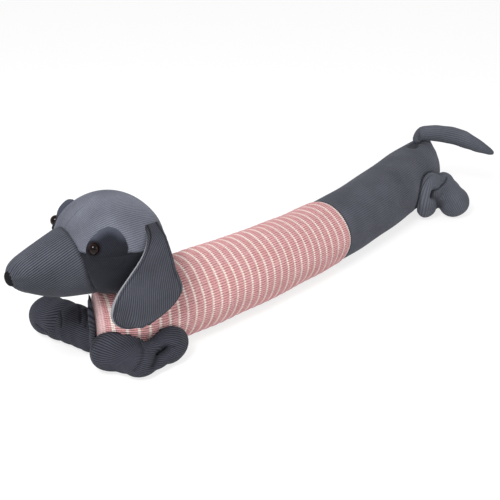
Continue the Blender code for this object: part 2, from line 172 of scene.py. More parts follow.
def makePiece(name, grid, across, along, materials, shade, replaced, faceSlots=None, zone=None):
    # closed mesh from rings of points; its UV map gives metres across and along the cloth
    rows, columns = grid.shape[:2]
    count = rows * columns
    points = np.vstack((grid.reshape(-1, 3), grid[0].mean(axis=0), grid[-1].mean(axis=0)))
    row, column = np.meshgrid(np.arange(rows - 1), np.arange(columns), indexing="ij")
    after = (column + 1) % columns
    quads = np.stack((row * columns + column, row * columns + after,
                      (row + 1) * columns + after, (row + 1) * columns + column), axis=-1).reshape(-1, 4)
    ring = np.arange(columns)
    following = (ring + 1) % columns
    firstCap = np.stack((following, ring, np.full(columns, count)), axis=-1)
    lastRing = (rows - 1) * columns
    lastCap = np.stack((ring + lastRing, following + lastRing, np.full(columns, count + 1)), axis=-1)
    pairs = np.stack((across, along), axis=-1)
    corners = np.stack((pairs[:-1, :-1], pairs[:-1, 1:], pairs[1:, 1:], pairs[1:, :-1]), axis=2)
    corners = corners.reshape(-1, 4, 2)
    middle = grid.mean(axis=1, keepdims=True)
    turned = np.cross(np.roll(grid, -1, axis=1) - grid, np.roll(grid, -1, axis=0) - grid)[:-1]
    if np.sum(turned * (grid - middle)[:-1]) < 0:
        quads, firstCap, lastCap, corners = (part[:, ::-1] for part in (quads, firstCap, lastCap, corners))
    mesh = bpy.data.meshes.new(name)
    mesh.from_pydata(points.tolist(), [], quads.tolist() + firstCap.tolist() + lastCap.tolist())
    flat = np.zeros((len(mesh.loops), 2), np.float32)
    flat[:corners.size // 2] = corners.reshape(-1, 2)
    mesh.uv_layers.new(name="cloth").data.foreach_set("uv", flat.ravel())
    # the crease attribute carries painted shade for the material
    values = np.zeros(len(points), np.float32)
    values[:count] = np.clip(shade, 0, 1).ravel()
    mesh.attributes.new("crease", "FLOAT", "POINT").data.foreach_set("value", values)
    if zone is not None:
        values = np.zeros(len(points), np.float32)
        values[:count] = zone.ravel()
        mesh.attributes.new("zone", "FLOAT", "POINT").data.foreach_set("value", values)
    for material in materials:
        mesh.materials.append(material)
    if faceSlots is not None:
        slots = np.zeros(len(mesh.polygons), np.int32)
        slots[:faceSlots.size] = faceSlots.ravel()
        mesh.polygons.foreach_set("material_index", slots)
    mesh.shade_smooth()
    mesh.update()
    piece = bpy.data.objects.new(name, mesh)
    bpy.context.scene.collection.objects.link(piece)
    declare(piece, replaced)


def declare(piece, replaced):
    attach(piece, "root")
    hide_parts(replaced)


# Materials
def newMaterial(name):
    material = bpy.data.materials.new(name)
    material.use_nodes = True
    return material, material.node_tree, material.node_tree.nodes["Principled BSDF"]


def addNode(tree, kind, sockets=(), **settings):
    node = tree.nodes.new(kind)
    for key, value in settings.items():
        setattr(node, key, value)
    for key, value in dict(sockets).items():
        if isinstance(value, bpy.types.NodeSocket):
            tree.links.new(value, node.inputs[key])
        else:
            node.inputs[key].default_value = value
    return node


def maths(tree, operation, first, second=0.0):
    return addNode(tree, "ShaderNodeMath", {0: first, 1: second}, operation=operation).outputs[0]


def mixColour(tree, share, first, second, blendType="MIX"):
    sockets = {0: share, 6: first, 7: second}
    return addNode(tree, "ShaderNodeMix", sockets, data_type="RGBA", blend_type=blendType).outputs[2]


def mapRange(tree, value, start, end, low, high):
    return addNode(tree, "ShaderNodeMapRange", {0: value, 1: start, 2: end, 3: low, 4: high}).outputs[0]


def noise(tree, place, scale, detail):
    return addNode(tree, "ShaderNodeTexNoise", {"Vector": place, "Scale": scale, "Detail": detail}).outputs[0]


def corduroyMaterial(name, ridge, groove, sheen=0.15, shadedPanelCloth=None, rimHighlight=None):
    material, tree, shader = newMaterial(name)
    cloth = addNode(tree, "ShaderNodeUVMap", uv_map="cloth")
    across = addNode(tree, "ShaderNodeSeparateXYZ", {0: cloth.outputs[0]}).outputs[0]
    place = addNode(tree, "ShaderNodeTexCoord").outputs["Object"]
    if shadedPanelCloth is not None:
        # the side panels of the head have darker cloth with its wales turned, made darker still as painted shade where
        # they face down
        zone = addNode(tree, "ShaderNodeAttribute", attribute_name="zone").outputs["Fac"]
        zone = mapRange(tree, zone, -0.0003, 0.0003, 0.0, 1.0)
        turned = panelAcrossNodes(tree, place)
        across = addNode(tree, "ShaderNodeMix", {0: zone, 2: across, 3: turned}).outputs[0]
    wave = maths(tree, "SINE", maths(tree, "MULTIPLY", across, math.pi / corduroy["pitch"]))
    wale = maths(tree, "POWER", maths(tree, "ABSOLUTE", wave), 0.9)
    patches = noise(tree, place, 24.0, 4.0)
    pile = noise(tree, place, 1300.0, 2.0)
    # the grooves between wales are darker than the wale tops: partly the cloth's own look, partly painted shade in the
    # grooves and painted highlight on the tops
    colour = mixColour(tree, wale, groove, ridge)
    if shadedPanelCloth is not None:
        colour = mixColour(tree, zone, colour, mixColour(tree, wale, shadedPanelCloth[1], shadedPanelCloth[0]))
    # painted highlight: the cheek's rim colour lightens the top of its arch, as though lit from above
    if rimHighlight is not None:
        rim = addNode(tree, "ShaderNodeAttribute", attribute_name="zone").outputs["Fac"]
        colour = mixColour(tree, rim, colour, rimHighlight)
    tone = mapRange(tree, patches, 0.3, 0.7, 0.80, 1.20)
    tone = maths(tree, "MULTIPLY", tone, mapRange(tree, pile, 0.3, 0.7, 0.80, 1.20))
    # painted shade: the cloth is darkened where the crease attribute marks seams, grooves and cloth against other
    # pieces
    crease = addNode(tree, "ShaderNodeAttribute", attribute_name="crease").outputs["Fac"]
    tone = maths(tree, "MULTIPLY", tone, mapRange(tree, crease, 0.0, 1.0, 1.0, 0.15))
    grey = addNode(tree, "ShaderNodeCombineColor", {0: tone, 1: tone, 2: tone}).outputs[0]
    colour = mixColour(tree, 1.0, colour, grey, "MULTIPLY")
    tree.links.new(colour, shader.inputs["Base Color"])
    height = maths(tree, "ADD", maths(tree, "MULTIPLY", wale, 0.6), maths(tree, "MULTIPLY", pile, 0.6))
    bump = addNode(tree, "ShaderNodeBump", {"Height": height, "Strength": 0.5, "Distance": 0.0004})
    tree.links.new(bump.outputs[0], shader.inputs["Normal"])
    shader.inputs["Roughness"].default_value = 0.92
    shader.inputs["Specular IOR Level"].default_value = 0.2
    shader.inputs["Sheen Weight"].default_value = sheen
    shader.inputs["Sheen Roughness"].default_value = 0.45
    shader.inputs["Sheen Tint"].default_value = (0.80, 0.84, 0.95, 1.0)
    return material


# Trunk: the line it follows on the floor and its round section
trunk = {
    "length": 0.752, "waist": 0.402, "straight": 0.140,
    "heading": math.radians(-8.0), "bend": math.radians(22.6),
    "shoulderRadius": 0.053, "waistRadius": 0.0482, "rumpRadius": 0.0500,
    "frontClosing": 0.085, "rearClosing": 0.120, "seamHalfWidth": 0.0016,
    "frontDrop": 0.004, "rearRise": 0.003, "rearLean": 0.022, "stripeLean": 0.0055,
    "bellyFlat": 0.0012, "hemStep": 0.0008,
}
trunkStart = np.zeros(3)


def trunkLine(along):
    along = np.asarray(along, float)
    radius = (trunk["length"] - trunk["straight"]) / trunk["bend"]
    heading = trunk["heading"] + np.maximum(along - trunk["straight"], 0.0) / radius
    reach = np.minimum(along, trunk["straight"])
    x = reach * math.cos(trunk["heading"]) + radius * (np.sin(heading) - math.sin(trunk["heading"]))
    y = reach * math.sin(trunk["heading"]) + radius * (math.cos(trunk["heading"]) - np.cos(heading))
    zero = np.zeros_like(heading)
    point = np.stack((x, y, zero), axis=-1) + trunkStart
    tailward = np.stack((np.cos(heading), np.sin(heading), zero), axis=-1)
    leftward = np.stack((np.sin(heading), -np.cos(heading), zero), axis=-1)
    return point, tailward, leftward


def besideTrunk(places):
    # world points from rows of distance along the trunk, distance to the dog's left, and height
    places = np.atleast_2d(np.asarray(places, float))
    point, _, leftward = trunkLine(places[:, 0])
    return point + leftward * places[:, 1:2] + upward * places[:, 2:3]


def trunkGrid(along, angles, step):
    middle = trunk["straight"] * 0.5
    before = trunk["shoulderRadius"] + (trunk["waistRadius"] - trunk["shoulderRadius"]) * ease(
        (along - middle) / (trunk["waist"] - middle))
    behind = trunk["waistRadius"] + (trunk["rumpRadius"] - trunk["waistRadius"]) * ease(
        (along - trunk["waist"]) / (trunk["length"] - trunk["rearClosing"] - trunk["waist"]))
    radius = (np.where(along < trunk["waist"], before, behind) + step)[:, None]
    front = np.sqrt(1 - (1 - np.clip(along / trunk["frontClosing"], 0, 1)) ** 2)[:, None]
    rear = np.sqrt(1 - (1 - np.clip((trunk["length"] - along) / trunk["rearClosing"], 0, 1)) ** 2)[:, None]
    halfWidth = np.maximum(radius * front * rear, trunk["seamHalfWidth"])
    halfHeight = radius - trunk["frontDrop"] * (1 - front) + trunk["rearRise"] * (1 - rear)
    lean = trunk["stripeLean"] * ease(along / trunk["frontClosing"]) * (1 - ease(along / trunk["waist"]))
    lean = lean - trunk["rearLean"] * np.maximum(1 - (trunk["length"] - along) / trunk["rearClosing"], 0) ** 2
    point, tailward, leftward = trunkLine(along)
    rise = -np.cos(angles)[None, :]
    out = halfWidth * np.sin(angles)[None, :]
    height = np.maximum(radius - trunk["bellyFlat"] + halfHeight * rise, 0.0002)
    back = lean[:, None] * rise
    return (point[:, None] + leftward[:, None] * out[..., None] + tailward[:, None] * back[..., None]
            + upward * height[..., None])


plainRings = trunkGrid(np.linspace(0, trunk["waist"], 60), np.linspace(0, 2 * math.pi, 90), trunk["hemStep"])
cadLow, cadHigh = (np.array(corner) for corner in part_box("jersey_body"))
trunkStart = np.array((cadLow[0] - plainRings[..., 0].min(),
                       0.5 * (cadLow[1] + cadHigh[1] - plainRings[..., 1].min() - plainRings[..., 1].max()), 0.0))
print("trunk starts at", trunkStart.round(4))


# Jersey: knitted tube with stripes
jersey = {
    "stripes": 31, "creamShare": 0.27,
    "knitColumns": 100, "samples": 5,
    "ribHeight": 0.00050, "bandHeight": 0.00070, "wobble": 0.0007, "hem": 0.0042,
}


def jerseyMaterial():
    pitch = trunk["waist"] / jersey["stripes"]
    column = 2 * math.pi * trunk["waistRadius"] / jersey["knitColumns"]
    material, tree, shader = newMaterial("jerseyKnit")
    cloth = addNode(tree, "ShaderNodeUVMap", uv_map="cloth")
    parts = addNode(tree, "ShaderNodeSeparateXYZ", {0: cloth.outputs[0]})
    place = addNode(tree, "ShaderNodeTexCoord").outputs["Object"]
    # stitches: each column is a chain of small Vs; the gaps between the columns are darker, as painted shade
    across = maths(tree, "FRACT", maths(tree, "DIVIDE", parts.outputs[0], column))
    fromMiddle = maths(tree, "ABSOLUTE", maths(tree, "SUBTRACT", across, 0.5))
    vee = maths(tree, "MULTIPLY", fromMiddle, 0.0016)
    lean = maths(tree, "ADD", parts.outputs[1], vee)
    course = maths(tree, "SINE", maths(tree, "MULTIPLY", lean, 2 * math.pi / 0.0019))
    loops = mapRange(tree, course, -1.0, 1.0, 0.0, 1.0)
    patches = noise(tree, place, 60.0, 5.0)
    strands = noise(tree, place, 330.0, 2.0)
    fibre = noise(tree, place, 900.0, 2.0)
    gap = mapRange(tree, fromMiddle, 0.16, 0.42, 0.0, 1.0)
    gap = maths(tree, "MULTIPLY", gap, mapRange(tree, strands, 0.36, 0.60, 0.45, 1.0))
    # stripes, with the beaded edge that the stitches give them
    tooth = maths(tree, "MULTIPLY", fromMiddle, 0.0018)
    fraction = maths(tree, "FRACT", maths(tree, "DIVIDE", maths(tree, "ADD", parts.outputs[1], tooth), pitch))
    edge = 1.0 - jersey["creamShare"]
    cream = mapRange(tree, fraction, edge - 0.04, edge + 0.04, 0.0, 1.0)
    cream = maths(tree, "MULTIPLY", cream, mapRange(tree, fraction, 0.93, 1.0, 1.0, 0.0))
    hem = mapRange(tree, parts.outputs[1], jersey["hem"], jersey["hem"] + 0.001, 1.0, 0.0)
    pink = mixColour(tree, patches, (0.70, 0.320, 0.330, 1), (0.82, 0.470, 0.470, 1))
    pink = mixColour(tree, maths(tree, "MULTIPLY", gap, 0.85), pink, (0.27, 0.130, 0.130, 1))
    pink = mixColour(tree, maths(tree, "MULTIPLY", hem, 0.75), pink, (0.86, 0.60, 0.60, 1))
    bead = mixColour(tree, maths(tree, "MULTIPLY", gap, 0.85), (0.98, 0.87, 0.81, 1), (0.50, 0.35, 0.32, 1))
    colour = mixColour(tree, cream, pink, bead)
    shadow = maths(tree, "MULTIPLY", maths(tree, "SUBTRACT", 1.0, loops), 0.35)
    fleck = mapRange(tree, fibre, 0.3, 0.7, 0.86, 1.14)
    # painted shade from the crease attribute, next to the head and front legs
    crease = addNode(tree, "ShaderNodeAttribute", attribute_name="crease").outputs["Fac"]
    tone = maths(tree, "MULTIPLY", maths(tree, "SUBTRACT", 1.0, maths(tree, "MULTIPLY", shadow, 0.55)), fleck)
    tone = maths(tree, "MULTIPLY", tone, maths(tree, "SUBTRACT", 1.0, maths(tree, "MULTIPLY", crease, 0.4)))
    grey = addNode(tree, "ShaderNodeCombineColor", {0: tone, 1: tone, 2: tone}).outputs[0]
    colour = mixColour(tree, 1.0, colour, grey, "MULTIPLY")
    tree.links.new(colour, shader.inputs["Base Color"])
    height = maths(tree, "SUBTRACT", maths(tree, "MULTIPLY", loops, 0.5), maths(tree, "MULTIPLY", gap, 0.8))
    bump = addNode(tree, "ShaderNodeBump", {"Height": height, "Strength": 0.6, "Distance": 0.0005})
    tree.links.new(bump.outputs[0], shader.inputs["Normal"])
    shader.inputs["Roughness"].default_value = 0.95
    shader.inputs["Specular IOR Level"].default_value = 0.15
    shader.inputs["Sheen Weight"].default_value = 0.15
    shader.inputs["Sheen Roughness"].default_value = 0.5
    return material


def buildJersey():
    pitch = trunk["waist"] / jersey["stripes"]
    steps = (0.0, 0.25, 0.5, 0.73, 0.865)
    along = [pitch * (number + step) for number in range(jersey["stripes"]) for step in steps]
    along = np.array([0.0, 0.0001, 0.0004, 0.0010, 0.0018] + along[1:] + [trunk["waist"] - 0.0008, trunk["waist"]])
    columns = jersey["knitColumns"] * jersey["samples"]
    angles = np.linspace(0, 2 * math.pi, columns + 1)
    grid = trunkGrid(along, angles[:-1], trunk["hemStep"])
    column = 2 * math.pi * trunk["waistRadius"] / jersey["knitColumns"]
    across = np.tile(angles / (2 * math.pi) * jersey["knitColumns"] * column, (len(along), 1))
    wave = jersey["wobble"] * lumps(grid, 0.07, 5)
    wave = np.concatenate((wave, wave[:, :1]), axis=1) * ease(along / 0.03)[:, None]
    lengthwise = along[:, None] + wave
    fraction = np.mod(lengthwise[:, :-1] / pitch, 1.0)
    pinkShare = 1.0 - jersey["creamShare"]
    band = np.where(fraction < pinkShare, np.sin(math.pi * np.clip(fraction / pinkShare, 0, 1)) ** 0.7, -0.25)
    ribs = -np.cos(jersey["knitColumns"] * angles[:-1])[None, :]
    near = bell(distanceTo(grid, ("head_crown", "front_leg_left", "front_leg_right")), 0.004)
    move = jersey["bandHeight"] * (band - 0.4) + jersey["ribHeight"] * ribs + 0.0007 * lumps(grid, 0.05, 8)
    move = (move - 0.0015 * near) * ease(along / 0.006)[:, None]
    turnIn = bell(along - trunk["waist"], 0.0012)[:, None] * 0.0006
    grid = grid + gridNormals(grid) * (move - turnIn)[..., None]
    grid[..., 2] = np.maximum(grid[..., 2], 0.0002)
    # painted shade: the knit is coloured darker next to the head and front legs
    makePiece("jersey", grid, across, lengthwise, [jerseyMaterial()], 0.8 * near, "jersey_body")


# Rump: corduroy cap that closes in an upright seam
rump = {"rows": 130, "wales": 95, "puckerLength": 0.019, "puckerHeight": 0.0005, "puckerReach": 0.020}


def buildRump(cloth):
    share = np.linspace(0, 1, rump["rows"])
    start = trunk["waist"] + 0.0003
    along = start + (trunk["length"] - start) * (1 - (1 - share) ** 1.35)
    columns = rump["wales"] * corduroy["samples"]
    angles = np.linspace(0, 2 * math.pi, columns + 1)
    grid = trunkGrid(along, angles[:-1], 0.0)
    left = trunk["length"] - along
    heights = grid[..., 2]
    pucker = rump["puckerHeight"] * np.sin(2 * math.pi * heights / rump["puckerLength"] + 1.5 * np.sin(
        heights / 0.011)) * bell(left, rump["puckerReach"])[:, None]
    grid = grid + gridNormals(grid) * (pucker * ease(left / 0.004)[:, None])[..., None]
    across = np.tile(angles / (2 * math.pi) * rump["wales"] * corduroy["pitch"], (len(along), 1))
    fade = 0.6 * ease(left / 0.010)[:, None]
    grid, shade = dressCorduroy(grid, gridNormals(grid), across[:, :-1], ("hind_leg_left", "hind_leg_right", "tail"),
                                None, 11, 0.075, 0.0005, fade)
    # painted shade: darker along the end seam and along the edge against the jersey
    shade = np.maximum(shade, bell(left, 0.0015)[:, None] * 0.8)
    shade = np.maximum(shade, bell(along - start, 0.0016)[:, None] * 0.8)
    makePiece("rumpCap", grid, across, np.tile(along[:, None], (1, columns + 1)), [cloth], shade,
              "rump")


# Head: where its middle is, and its directions
head = {
    "fromFront": 0.028, "sink": 0.0025,
    "halfLength": 0.0655, "halfWidth": 0.067, "halfHeight": 0.060,
    "wales": 155, "samples": 4, "backFlat": 0.022,
    # lower edge of the crown
    "panelEdge": 0.0137, "panelSlope": 0.28, "panelFrontSlope": 0.05, "panelFrom": 0.009,
    "waleAhead": 1.64, "waleUp": -0.62, "waleBend": 7.0, "waleLevel": 0.010, "panelWaleShare": 0.35,
}


def headMiddle():
    return besideTrunk((head["fromFront"], 0.0, 2 * trunk["shoulderRadius"] - trunk["bellyFlat"]
                        + head["halfHeight"] - head["sink"]))[0]


def headPoint(forward, out, height):
    # world points from distances ahead of, to the left of and above the middle of the head
    _, tailward, leftward = trunkLine(0.0)
    return (headMiddle() - tailward * np.asarray(forward)[..., None] + leftward * np.asarray(out)[..., None]
            + upward * np.asarray(height)[..., None])


def headPlace(points):
    _, tailward, leftward = trunkLine(0.0)
    away = points - headMiddle()
    return -(away @ tailward), away @ leftward, away @ upward


def panelAcross(points):
    # distance across the wales of the head's side panels
    forward, _, height = headPlace(points)
    level = height - head["waleLevel"]
    return head["waleAhead"] * forward + level * (head["waleUp"] + head["waleBend"] * np.minimum(level, 0))


def panelAcrossNodes(tree, place):
    _, tailward, _ = trunkLine(0.0)
    middle = headMiddle()
    away = addNode(tree, "ShaderNodeVectorMath", {0: place, 1: tuple(middle)}, operation="SUBTRACT").outputs[0]
    forward = addNode(tree, "ShaderNodeVectorMath", {0: away, 1: tuple(-tailward)}, operation="DOT_PRODUCT")
    forward = maths(tree, "MULTIPLY", forward.outputs["Value"], head["waleAhead"])
    level = addNode(tree, "ShaderNodeSeparateXYZ", {0: away}).outputs[2]
    level = maths(tree, "SUBTRACT", level, head["waleLevel"])
    turn = maths(tree, "ADD", maths(tree, "MULTIPLY", maths(tree, "MINIMUM", level, 0.0), head["waleBend"]),
                 head["waleUp"])
    return maths(tree, "ADD", forward, maths(tree, "MULTIPLY", level, turn))


def buildCrown(cloth):
    # rings stand closest where the side panels show
    ahead = np.concatenate((np.linspace(0.9995, 0.70, 16), np.linspace(0.69, -0.30, 88), np.linspace(-0.32, -0.90, 24),
                            np.linspace(-0.92, -0.9995, 8)))
    turn = np.arccos(ahead)[:, None]
    columns = head["wales"] * head["samples"]
    angles = np.linspace(0, 2 * math.pi, columns + 1)
    side = np.sin(angles[:-1])[None, :]
    top = np.cos(angles[:-1])[None, :]
    forward = head["halfLength"] * np.cos(turn) * np.ones_like(side)
    out = head["halfWidth"] * np.sin(turn) * side
    height = head["halfHeight"] * np.sin(turn) * top
    # the back of the crown is a little flatter than round
    backTop = bell(np.arccos(np.clip((height / head["halfHeight"] * 0.75 - forward / head["halfLength"] * 0.66),
                                     -1, 1)), 0.55)
    slim = 1 - head["backFlat"] * backTop
    grid = headPoint(forward * slim, out * slim, height * slim)
    across = np.tile(angles / (2 * math.pi) * head["wales"] * corduroy["pitch"], (len(turn), 1))
    along = np.tile(turn * head["halfLength"], (1, columns + 1))
    behindEdge = forward - head["panelFrom"]
    zone = (head["panelEdge"] + head["panelSlope"] * np.minimum(behindEdge, 0)
            + head["panelFrontSlope"] * np.maximum(behindEdge, 0) - height)
    # seams: the lower edge of the crown, and a faint one up the middle of the forehead
    middleSeam = np.abs(out) + 0.02 * ease((0.030 - forward) / 0.02) + 0.05 * (height < 0)
    seams = np.minimum(np.abs(zone), middleSeam + 0.0010)
    both = np.where(zone > 0, panelAcross(grid), across[:, :-1])
    fade = ease(np.sin(turn) / 0.25) * np.where(zone > 0, head["panelWaleShare"], 0.8)
    grid, shade = dressCorduroy(grid, gridNormals(grid), both, ("muzzle", "jersey_body"), seams, 21, 0.06, 0.0006, fade)
    makePiece("crown", grid, across, along, [cloth], shade * 0.8, "head_crown", None, zone)


# Muzzle: one panel folded over the bridge of the nose, sewn shut underneath
muzzle = {
    "length": 0.0948, "baseHalfHeight": 0.0462, "baseHalfWidth": 0.0470, "tipHalfHeight": 0.0140,
    "tipHalfWidth": 0.0165, "baseSink": 0.0295, "baseDroop": 0.0075, "tipDroop": 0.005,
    "chin": 0.21, "chinAt": 0.52, "chinReach": 0.33, "waleDensity": 1.18, "underShade": 0.30,
    "rows": 84, "columns": 430,
}


def muzzleBase():
    return head["halfLength"] - muzzle["baseSink"]


def buildMuzzle(cloth):
    share = np.linspace(0, 1, muzzle["rows"])
    start = muzzleBase() - 0.5 * muzzle["baseHalfHeight"]
    end = muzzleBase() + muzzle["length"]
    forward = start + (end - start) * (1 - (1 - share) ** 1.9)
    taper = (forward - muzzleBase()) / muzzle["length"]
    narrow = np.maximum(taper, 0)
    rounding = np.sqrt(np.maximum(1 - np.maximum(taper - 0.80, 0) ** 2 / 0.0402, 0.0004))
    halfWidth = (muzzle["baseHalfWidth"] + (muzzle["tipHalfWidth"] - muzzle["baseHalfWidth"])
                 * narrow ** 0.88) * rounding
    halfHeight = (muzzle["baseHalfHeight"] + (muzzle["tipHalfHeight"] - muzzle["baseHalfHeight"])
                  * narrow ** 1.06) * rounding
    chin = 1 + muzzle["chin"] * bell(taper - muzzle["chinAt"], muzzle["chinReach"])[:, None]
    droop = -(muzzle["baseDroop"] + (muzzle["tipDroop"] - muzzle["baseDroop"]) * narrow)
    # angles run from the bottom seam over the left side, the bridge and the right side
    angles = np.linspace(-math.pi, math.pi, muzzle["columns"] + 1)
    ahead = np.tile(forward[:, None], (1, muzzle["columns"]))
    out = halfWidth[:, None] * np.sin(angles[:-1])
    rise = np.cos(angles[:-1])[None, :]
    height = droop[:, None] + halfHeight[:, None] * rise * np.where(rise < 0, chin, 1.0)
    grid = headPoint(ahead, out, height)
    girth = 0.5 * (halfWidth + halfHeight)[:, None]
    across = muzzle["waleDensity"] * girth * angles[None, :] + 0.5 * corduroy["pitch"]
    fromSeam = girth * (math.pi - np.abs(angles[:-1]))[None, :]
    gather = 0.0007 * np.sin(11 * angles[:-1])[None, :] * bell(taper - 0.93, 0.09)[:, None]
    grid = grid + gridNormals(grid) * (gather * rounding[:, None])[..., None]
    grid, shade = dressCorduroy(grid, gridNormals(grid), across[:, :-1], ("head_crown",), fromSeam, 31, 0.05, 0.0006,
                                rounding[:, None] ** 0.5)
    # painted shade: darker towards the underside of the muzzle
    shade = shade + muzzle["underShade"] * ease((0.80 - rise) / 1.1)
    makePiece("snout", grid, across, np.tile(forward[:, None], (1, muzzle["columns"] + 1)),
              [cloth], shade, "muzzle")


def deselectAll():
    for thing in bpy.data.objects:
        thing.select_set(False)


# Legs: rounds of filling under one cloth. Places are the distance from the front seam along the trunk,
# the distance to the dog's left, and the height; half sizes are along, across and up, and the last
# number of a round is its panel of cloth. A panel has its middle, the direction of its wales, the
# direction it faces and its number of wales round. A groove has its depth, width, darkness and line.
# a groove's darkness is painted shade along it; a groove with no depth is painted shade only
leg = {"voxel": 0.0030, "smoothing": 4, "pressure": 4.0, "frames": 20, "cap": 0.0020, "shrink": -0.02}
frontLeft = {
    "rounds": (((0.0130, 0.0235, 0.0270), (0.0325, 0.0240, 0.0275), 0),
               ((0.0210, 0.0370, 0.0255), (0.0255, 0.0240, 0.0258), 0),
               ((0.0290, 0.0540, 0.0205), (0.0240, 0.0220, 0.0200), 1),
               ((0.0480, 0.0560, 0.0220), (0.0220, 0.0180, 0.0200), 1),
               ((0.0690, 0.0545, 0.0265), (0.0265, 0.0190, 0.0258), 2)),
    "panels": (((0.010, 0.030, 0.0240), (0.35, 0.94, 0.0), (0.0, 0.0, 1.0), 55),
               ((0.035, 0.050, 0.0200), (0.90, 0.0, -0.44), (0.0, 1.0, 0.4), 62),
               ((0.067, 0.052, 0.0260), (0.77, 0.0, -0.64), (0.0, 1.0, 0.4), 58)),
    "grooves": ((0.0016, 0.0026, 0.35, ((0.0320, 0.0500, 0.0420), (0.0275, 0.0640, 0.0380), (0.0185, 0.0710, 0.0300),
                                        (0.0110, 0.0680, 0.0200))),
                (0.0105, 0.0066, 1.0, ((0.0480, 0.0705, 0.0305), (0.0520, 0.0705, 0.0310), (0.0560, 0.0715, 0.0322))),
                (0.0034, 0.0062, 0.8, ((0.0460, 0.0710, 0.0290), (0.0400, 0.0730, 0.0255), (0.0340, 0.0755, 0.0205))),
                # painted shade only: a shadow over the pad
                (0.0000, 0.0150, 0.35, ((0.0640, 0.0600, 0.0500), (0.0740, 0.0600, 0.0440))),
                (0.0014, 0.0022, 0.4, ((0.0580, 0.0720, 0.0325), (0.0680, 0.0730, 0.0335))),
                (-0.0007, 0.0013, 0.0, ((-0.0190, 0.0240, 0.0300), (-0.0150, 0.0250, 0.0400), (-0.0050, 0.0260, 0.0470),
                                        (0.0060, 0.0250, 0.0500), (0.0220, 0.0250, 0.0490))),
                # painted shade only: the panel above the raised seam, in shadow
                (0.0, 0.0075, 0.55, ((-0.0160, 0.0150, 0.0420), (-0.0050, 0.0130, 0.0520), (0.0120, 0.0120, 0.0540)))),
}
frontRight = {
    "rounds": (((-0.0135, -0.0980, 0.0265), (0.0262, 0.0255, 0.0262), 0),
               ((-0.0065, -0.0780, 0.0265), (0.0265, 0.0255, 0.0265), 0),
               ((0.0005, -0.0580, 0.0268), (0.0265, 0.0260, 0.0265), 1),
               ((0.0060, -0.0430, 0.0268), (0.0265, 0.0260, 0.0265), 1),
               ((0.0110, -0.0280, 0.0268), (0.0265, 0.0260, 0.0265), 1),
               ((-0.0040, -0.0015, 0.0580), (0.0046, 0.0060, 0.0440), 1)),
    "panels": (((-0.0135, -0.0980, 0.0265), (0.93, 0.36, 0.0), (-0.36, 0.93, 0.6), 64),
               ((-0.0135, -0.0980, 0.0265), (0.33, 0.94, 0.0), (-0.94, 0.33, 0.6), 64)),
    "grooves": ((0.0020, 0.0024, 0.6, ((-0.0145, -0.0635, 0.0485), (-0.0190, -0.0540, 0.0445), (-0.0225, -0.0500, 0.0375))),
                (0.0016, 0.0020, 0.6, ((-0.0385, -0.0890, 0.0260), (-0.0340, -0.0825, 0.0210), (-0.0320, -0.0720, 0.0210))),
                (0.0014, 0.0020, 0.5, ((0.0080, -0.0555, 0.0525), (0.0, -0.0380, 0.0525), (-0.0060, -0.0285, 0.0480))),
                (0.0014, 0.0020, 0.5, ((0.0100, -0.0420, 0.0530), (0.0050, -0.0280, 0.0520), (-0.0040, -0.0180, 0.0450)))),
}
hindLeft = {
    "rounds": (((0.6300, 0.0525, 0.0400), (0.0365, 0.0175, 0.0385), 0),
               ((0.6570, 0.0840, 0.0256), (0.0256, 0.0256, 0.0256), 1),
               ((0.6605, 0.0620, 0.0515), (0.0190, 0.0190, 0.0190), 1),
               ((0.6610, 0.0705, 0.0390), (0.0218, 0.0218, 0.0218), 1)),
    "panels": (((0.6300, 0.0500, 0.0400), (0.0, 0.1, 1.0), (-0.3, 1.0, 0.0), 42),
               ((0.6600, 0.0700, 0.0400), (-0.05, 0.62, -0.78), (-0.7, 0.6, 0.4), 52)),
    "grooves": ((0.0120, 0.0064, 1.0, ((0.6140, 0.0680, 0.0490), (0.6165, 0.0680, 0.0525))),
                (0.0030, 0.0024, 0.8, ((0.6165, 0.0675, 0.0535), (0.6280, 0.0680, 0.0555), (0.6430, 0.0695, 0.0580),
                                       (0.6490, 0.0715, 0.0640), (0.6530, 0.0710, 0.0685))),
                (0.0040, 0.0058, 0.6, ((0.6170, 0.0685, 0.0450), (0.6285, 0.0690, 0.0320), (0.6415, 0.0700, 0.0190))),
                (0.0009, 0.0014, 0.7, ((0.5960, 0.0535, 0.0295), (0.5955, 0.0510, 0.0480), (0.6025, 0.0500, 0.0640),
                                       (0.6150, 0.0530, 0.0750), (0.6360, 0.0560, 0.0770)))),
}
hindRight = {
    "rounds": (((0.632, -0.0600, 0.0152), (0.0385, 0.0355, 0.0150), 0),
               ((0.674, -0.0570, 0.0235), (0.0322, 0.0266, 0.0235), 0)),
    "panels": (((0.650, -0.0590, 0.0170), (1.0, 0.0, 0.05), (0.0, -1.0, 0.6), 52),),
    "grooves": ((0.0020, 0.0030, 0.5, ((0.650, -0.0350, 0.0260), (0.650, -0.0590, 0.0300), (0.650, -0.0830, 0.0240))),),
}


def meshPoints(mesh):
    points = np.empty(3 * len(mesh.vertices))
    mesh.vertices.foreach_get("co", points)
    return points.reshape(-1, 3)


def meshNormals(mesh):
    normals = np.empty(3 * len(mesh.vertices))
    mesh.vertex_normals.foreach_get("vector", normals)
    return normals.reshape(-1, 3)


def finishModifier(piece, kind, **settings):
    modifier = piece.modifiers.new(kind.lower(), kind)
    for key, value in settings.items():
        setattr(modifier, key, value)
    bpy.context.view_layer.objects.active = piece
    bpy.ops.object.modifier_apply(modifier=modifier.name)


